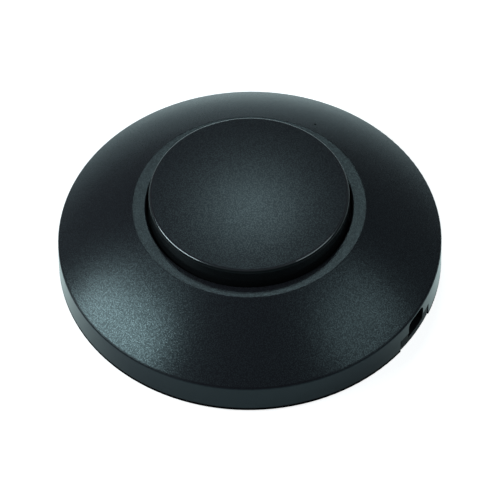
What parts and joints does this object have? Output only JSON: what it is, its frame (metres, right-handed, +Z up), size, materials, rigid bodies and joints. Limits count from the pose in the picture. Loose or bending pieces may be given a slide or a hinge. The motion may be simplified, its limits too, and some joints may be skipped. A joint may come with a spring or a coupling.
{
  "type": "foot dimmer",
  "caption": "Round black foot dimmer with a conical housing, a large domed push button in a round well and a low cable port on each side of the rim.",
  "frame": {"origin": "middle of the footprint, on the plane that the rubber feet stand on", "axes": "+Z up along the button's travel, +X out of the supply cable port, -X out of the lamp cable port"},
  "size_m": [0.0996, 0.1, 0.029],
  "materials": {
    "housing_plastic": "fine spark-eroded texture, satin black",
    "button_plastic": "fine spark-eroded texture, satin black",
    "base_plastic": "fine texture, black",
    "foot_rubber": "matt dark grey",
    "spring_steel": "drawn wire",
    "screw_steel": "bright zinc plated",
    "board_laminate": "green solder resist on laminate",
    "switch_plastic": "satin black",
    "plunger_plastic": "natural acetal",
    "chip_epoxy": "matt black epoxy",
    "sink_aluminium": "plain rolled sheet",
    "core_coating": "yellow coated iron powder",
    "copper_winding": "enamelled copper wire",
    "film_box": "yellow box",
    "can_sleeve": "dark blue shrink sleeve",
    "resistor_coating": "grey-blue coating",
    "varistor_coating": "blue dipped coating",
    "fuse_glass": "clear glass",
    "clip_metal": "tinned brass strip",
    "terminal_plastic": "light grey"
  },
  "bodies": {
    "housing": {"top_cover": "housing_plastic", "base_plate": "base_plastic", "return_spring": "spring_steel", "circuit_board": "board_laminate", "push_switch_body": "switch_plastic", "triac": "chip_epoxy", "heat_sink": "sink_aluminium", "triac_screw": "screw_steel", "choke_core": "core_coating", "choke_winding": "copper_winding", "film_capacitor": "film_box", "electrolytic_capacitor": "can_sleeve", "controller_chip": "chip_epoxy", "power_resistor": "resistor_coating", "diodes": "chip_epoxy", "varistor": "varistor_coating", "fuse": "fuse_glass", "fuse_clips": "clip_metal", "supply_terminal": "terminal_plastic", "lamp_terminal": "terminal_plastic", "terminal_screws": "screw_steel", "supply_cord_grip": "switch_plastic", "lamp_cord_grip": "switch_plastic", "cord_grip_screws": "screw_steel", "housing_screws": "screw_steel", "board_screws": "screw_steel", "rubber_feet": "foot_rubber"},
    "button": {"button_cap": "button_plastic"},
    "plunger": {"switch_plunger": "plunger_plastic"}
  },
  "joints": [
    {"name": "button_press", "type": "slide", "parent": "housing", "child": "button", "axis": [0, 0, -1], "range_m": [0, 0.003], "stiffness_N_per_m": 800, "springref_m": -0.002, "deforming": ["return_spring"]},
    {"name": "switch_plunger_travel", "type": "slide", "parent": "housing", "child": "plunger", "axis": [0, 0, -1], "range_m": [0, 0.003]}
  ],
  "couplings": [
    {"joint": "switch_plunger_travel", "follows": "button_press", "ratio": 1}
  ]
}
